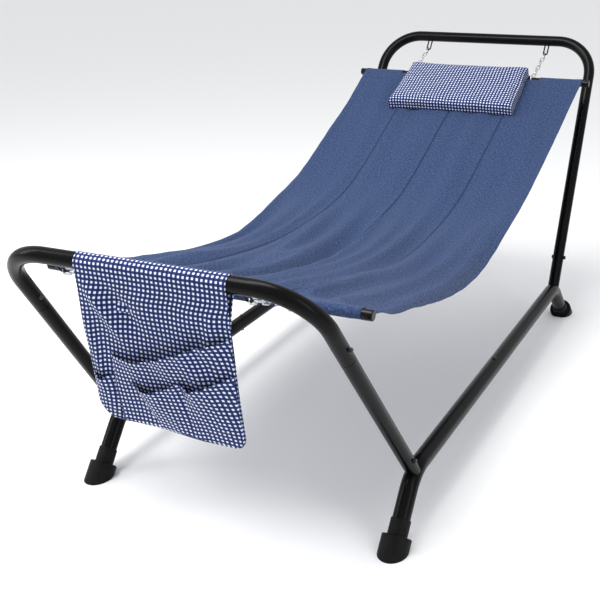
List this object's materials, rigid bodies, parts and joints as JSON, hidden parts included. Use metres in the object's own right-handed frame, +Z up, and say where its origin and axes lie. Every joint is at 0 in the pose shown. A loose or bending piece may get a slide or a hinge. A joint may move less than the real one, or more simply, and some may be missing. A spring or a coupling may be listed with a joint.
{
  "type": "hammock on stand",
  "caption": "Hammock bed hung by chains between the bent-tube bows of a steel floor stand, with a pillow and a hanging pocket caddy.",
  "frame": {"origin": "middle of the footprint on the floor", "axes": "+X across, to the right seen from the foot end; +Y along the bed from the foot end to the head end; +Z up"},
  "size_m": [0.791, 2.07, 0.8155],
  "materials": {
    "frame_black": "black semi-gloss powder coat",
    "foot_black": "moulded black, matte",
    "cap_black": "glossy black moulding",
    "zinc": "bright zinc plate",
    "bolt_steel": "blackened steel",
    "denim": "heathered blue woven fabric",
    "gingham": "navy and white woven check",
    "strap": "navy webbing"
  },
  "bodies": {
    "stand": {"foot_bow": "frame_black", "head_bow": "frame_black", "foot_leg_left": "frame_black", "foot_leg_right": "frame_black", "rail_front_left": "frame_black", "rail_front_right": "frame_black", "rail_rear_left": "frame_black", "rail_rear_right": "frame_black", "foot_cap_front_left": "foot_black", "foot_cap_front_right": "foot_black", "foot_cap_rear_left": "foot_black", "foot_cap_rear_right": "foot_black", "bow_bolts": "bolt_steel", "rail_bolts": "bolt_steel", "bow_nuts": "bolt_steel", "rail_nuts": "bolt_steel", "eye_head_left": "frame_black", "eye_head_right": "frame_black", "eye_foot_left": "frame_black", "eye_foot_right": "frame_black"},
    "bed": {"sling": "denim", "spreader_head": "frame_black", "spreader_foot": "frame_black", "spreader_cap_head_left": "cap_black", "spreader_cap_head_right": "cap_black", "spreader_cap_foot_left": "cap_black", "spreader_cap_foot_right": "cap_black", "ring_head_left": "zinc", "ring_head_right": "zinc", "ring_foot_left": "zinc", "ring_foot_right": "zinc"},
    "pillow": {"pillow": "gingham", "pillow_strap_left": "strap", "pillow_strap_right": "strap"},
    "caddy": {"caddy_panel": "gingham", "caddy_main_pocket": "gingham", "caddy_front_pockets": "gingham", "caddy_side_pocket": "gingham"},
    "chain_head_left": {"chain_head_left": "zinc"},
    "chain_head_right": {"chain_head_right": "zinc"},
    "chain_foot_left": {"chain_foot_left": "zinc"},
    "chain_foot_right": {"chain_foot_right": "zinc"}
  },
  "joints": [
    {"name": "bed_sway", "type": "slide", "parent": "stand", "child": "bed", "axis": [1, 0, 0], "range_m": [-0.018, 0.018], "stiffness_N_per_m": 600},
    {"name": "pillow_lift", "type": "hinge", "parent": "bed", "child": "pillow", "pos_m": [0, 0.83624, 0.7016], "axis": [-1, 0, 0], "range_deg": [0, 50]},
    {"name": "caddy_swing", "type": "hinge", "parent": "stand", "child": "caddy", "pos_m": [0, -1.0055, 0.645], "axis": [1, 0, 0], "range_deg": [-15, 15]},
    {"name": "chain_head_left_swing", "type": "hinge", "parent": "stand", "child": "chain_head_left", "pos_m": [-0.196, 0.98976, 0.76207], "axis": [0, -0.3665, 0.9304], "range_deg": [-7, 7]},
    {"name": "chain_head_right_swing", "type": "hinge", "parent": "stand", "child": "chain_head_right", "pos_m": [0.196, 0.98976, 0.76207], "axis": [0, -0.3665, 0.9304], "range_deg": [-7, 7]},
    {"name": "chain_foot_left_swing", "type": "hinge", "parent": "stand", "child": "chain_foot_left", "pos_m": [-0.196, -0.97626, 0.60757], "axis": [0, -0.3469, -0.9379], "range_deg": [-7, 7]},
    {"name": "chain_foot_right_swing", "type": "hinge", "parent": "stand", "child": "chain_foot_right", "pos_m": [0.196, -0.97626, 0.60757], "axis": [0, -0.3469, -0.9379], "range_deg": [-7, 7]}
  ],
  "couplings": [
    {"joint": "chain_head_left_swing", "follows": "bed_sway", "rad_per_m": 6.7204},
    {"joint": "chain_head_right_swing", "follows": "bed_sway", "rad_per_m": 6.7204},
    {"joint": "chain_foot_left_swing", "follows": "bed_sway", "rad_per_m": 6.7204},
    {"joint": "chain_foot_right_swing", "follows": "bed_sway", "rad_per_m": 6.7204}
  ]
}
